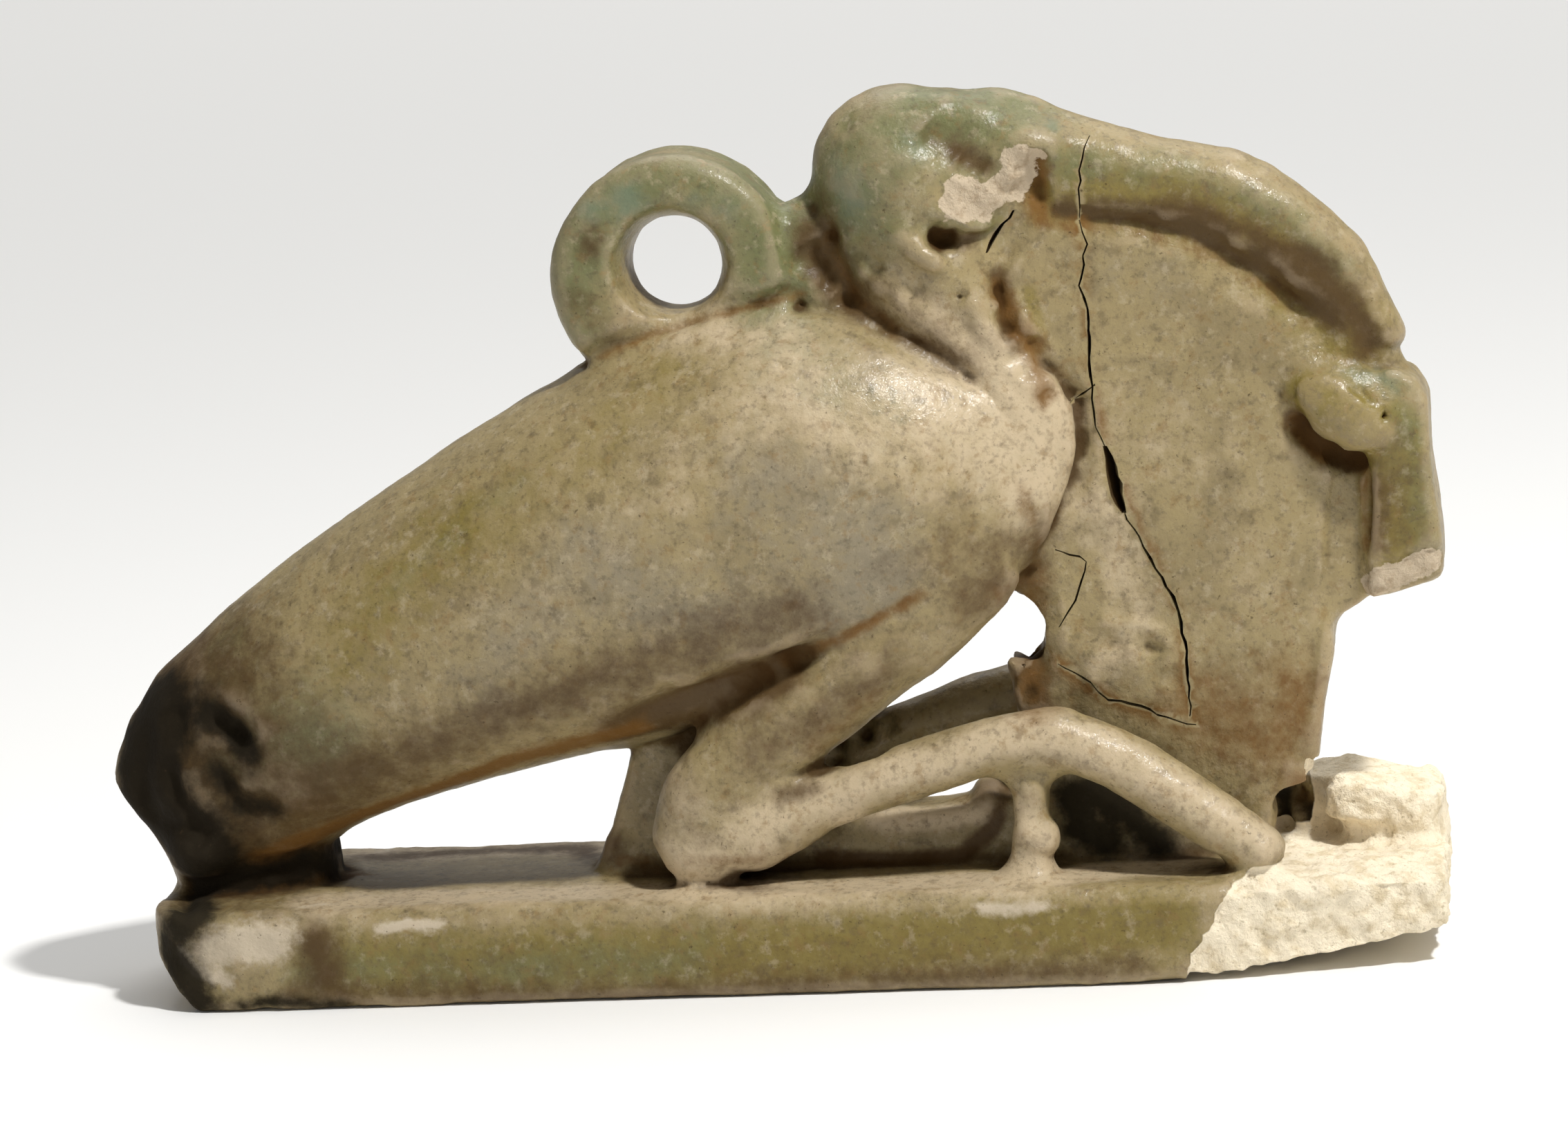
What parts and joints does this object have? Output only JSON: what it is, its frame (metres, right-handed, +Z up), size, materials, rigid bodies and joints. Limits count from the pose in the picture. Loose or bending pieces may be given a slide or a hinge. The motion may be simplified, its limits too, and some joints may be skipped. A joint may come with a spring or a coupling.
{
  "type": "faience ibis amulet",
  "caption": "Small moulded amulet of a crouching ibis on a plinth, bill resting on an upright feather, with a suspension ring on its back.",
  "frame": {"origin": "centre of the plinth's flat underside", "axes": "+X along the plinth towards the bill, +Y across it to the far side, +Z up"},
  "size_m": [0.0428, 0.0102, 0.0279],
  "materials": {
    "faience": "weathered satin glaze, olive to cream, matt where broken"
  },
  "bodies": {
    "root": {"ibis_amulet": "faience"}
  },
  "joints": []
}
